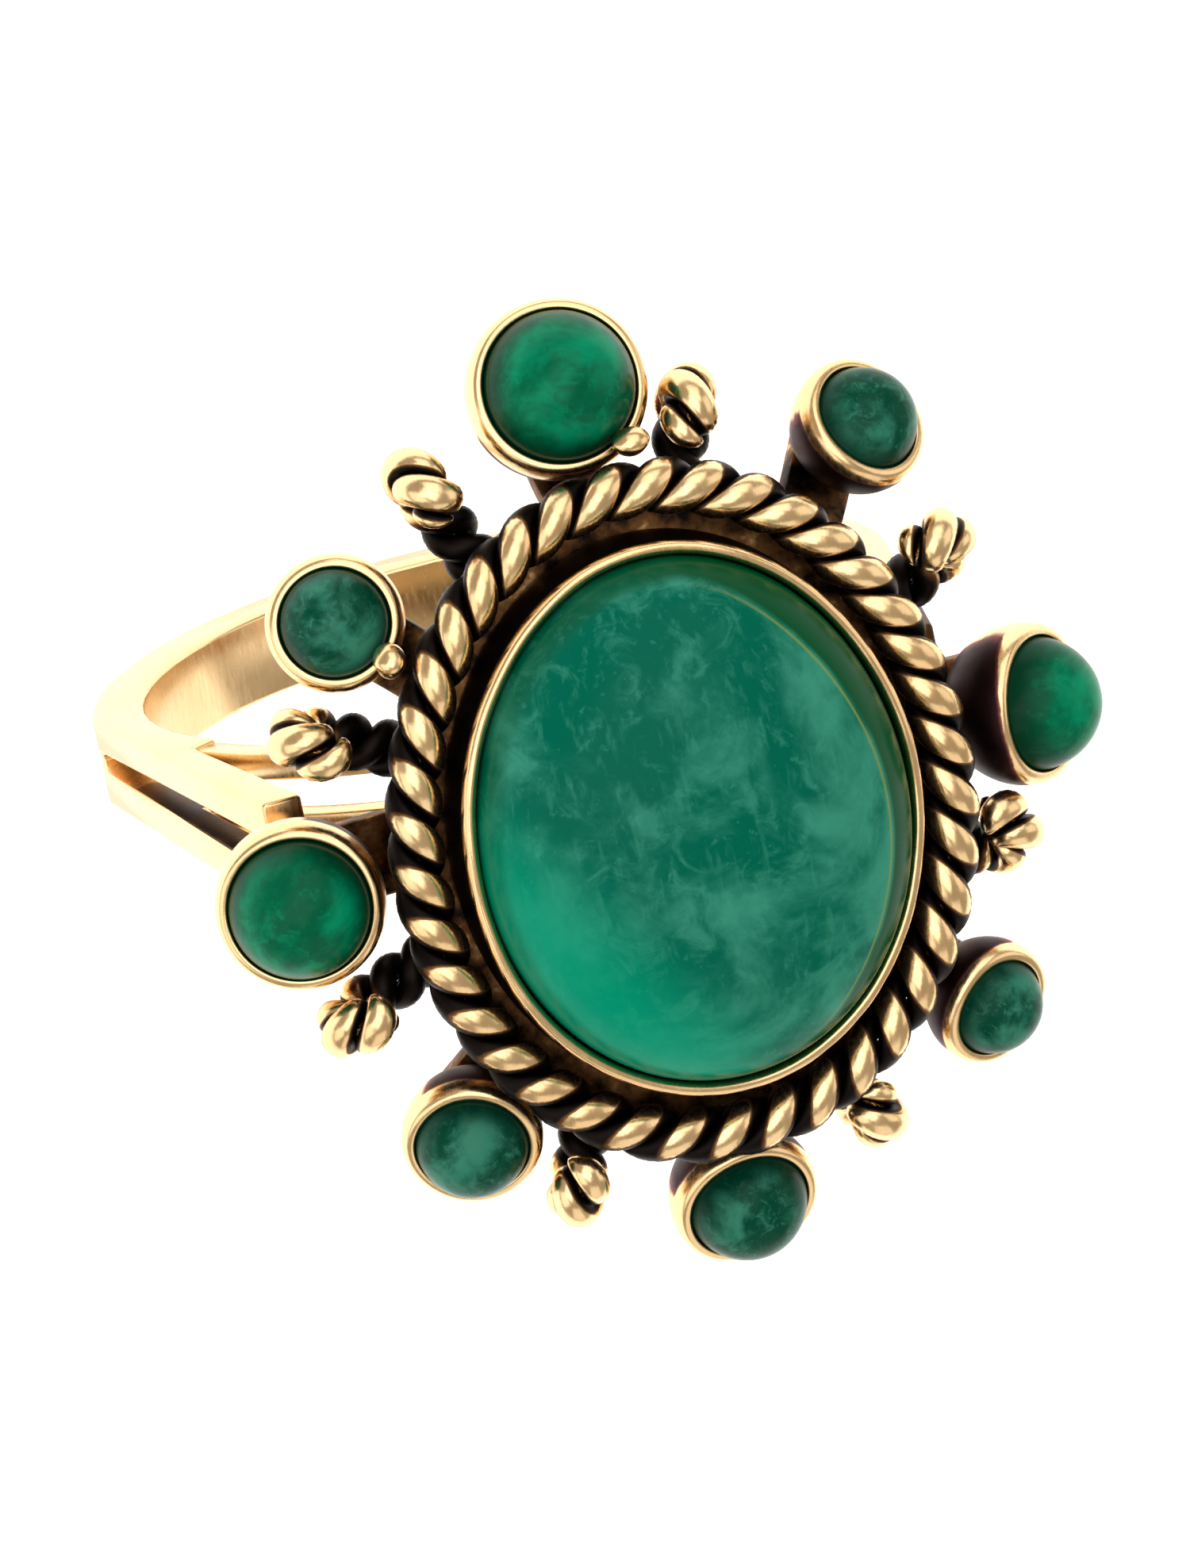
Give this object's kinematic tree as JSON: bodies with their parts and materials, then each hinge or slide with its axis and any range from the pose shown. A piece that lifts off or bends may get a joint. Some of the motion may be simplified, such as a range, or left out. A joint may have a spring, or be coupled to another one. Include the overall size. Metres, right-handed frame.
{
  "type": "cocktail ring",
  "caption": "Gold cocktail ring with a tall oval emerald cabochon in a twisted rope border, ringed by small cabochons in cups and curled wire scrolls, on a split-shoulder shank.",
  "frame": {"origin": "centre of the finger hole, on the finger's axis, midway across the shank", "axes": "+Z out through the head, +Y along the finger, +X across the hand to the side with the most tilted cup"},
  "size_m": [0.0221, 0.0241, 0.0295],
  "materials": {
    "polished_gold": "polished yellow gold, lightly worn",
    "oxidised_gold": "blackened and browned gold, worn back on its edges",
    "twisted_wire_gold": "yellow gold wire, polished on the crowns and black in the grooves",
    "cup_gold": "yellow gold, polished rims over heat-stained walls",
    "cloudy_emerald": "polished translucent green stone with milky clouds",
    "clear_emerald": "polished deep green stone with fine inclusions"
  },
  "bodies": {
    "root": {"shank": "polished_gold", "finger_rail_north": "polished_gold", "finger_rail_south": "polished_gold", "gallery_saddle": "oxidised_gold", "rope_tray": "oxidised_gold", "center_bezel": "polished_gold", "bezel_seat": "oxidised_gold", "emerald_center": "cloudy_emerald", "rope_strand_a": "twisted_wire_gold", "rope_strand_b": "twisted_wire_gold", "stone_north": "clear_emerald", "cup_north": "cup_gold", "arm_north": "oxidised_gold", "stone_northeast": "clear_emerald", "cup_northeast": "cup_gold", "arm_northeast": "oxidised_gold", "stone_east": "clear_emerald", "cup_east": "cup_gold", "arm_east": "oxidised_gold", "stone_southeast": "clear_emerald", "cup_southeast": "cup_gold", "arm_southeast": "oxidised_gold", "stone_south": "clear_emerald", "cup_south": "cup_gold", "arm_south": "oxidised_gold", "stone_southwest": "clear_emerald", "cup_southwest": "cup_gold", "arm_southwest": "oxidised_gold", "stone_west": "clear_emerald", "cup_west": "cup_gold", "arm_west": "oxidised_gold", "stone_northwest": "clear_emerald", "cup_northwest": "cup_gold", "arm_northwest": "oxidised_gold", "scroll_north_northeast": "twisted_wire_gold", "scroll_east_northeast": "twisted_wire_gold", "scroll_east_southeast": "twisted_wire_gold", "scroll_south_southeast": "twisted_wire_gold", "scroll_south_southwest": "twisted_wire_gold", "scroll_west_southwest": "twisted_wire_gold", "scroll_west_northwest": "twisted_wire_gold", "scroll_north_northwest": "twisted_wire_gold", "solder_granule_north": "polished_gold", "solder_granule_northwest": "polished_gold"}
  },
  "joints": []
}
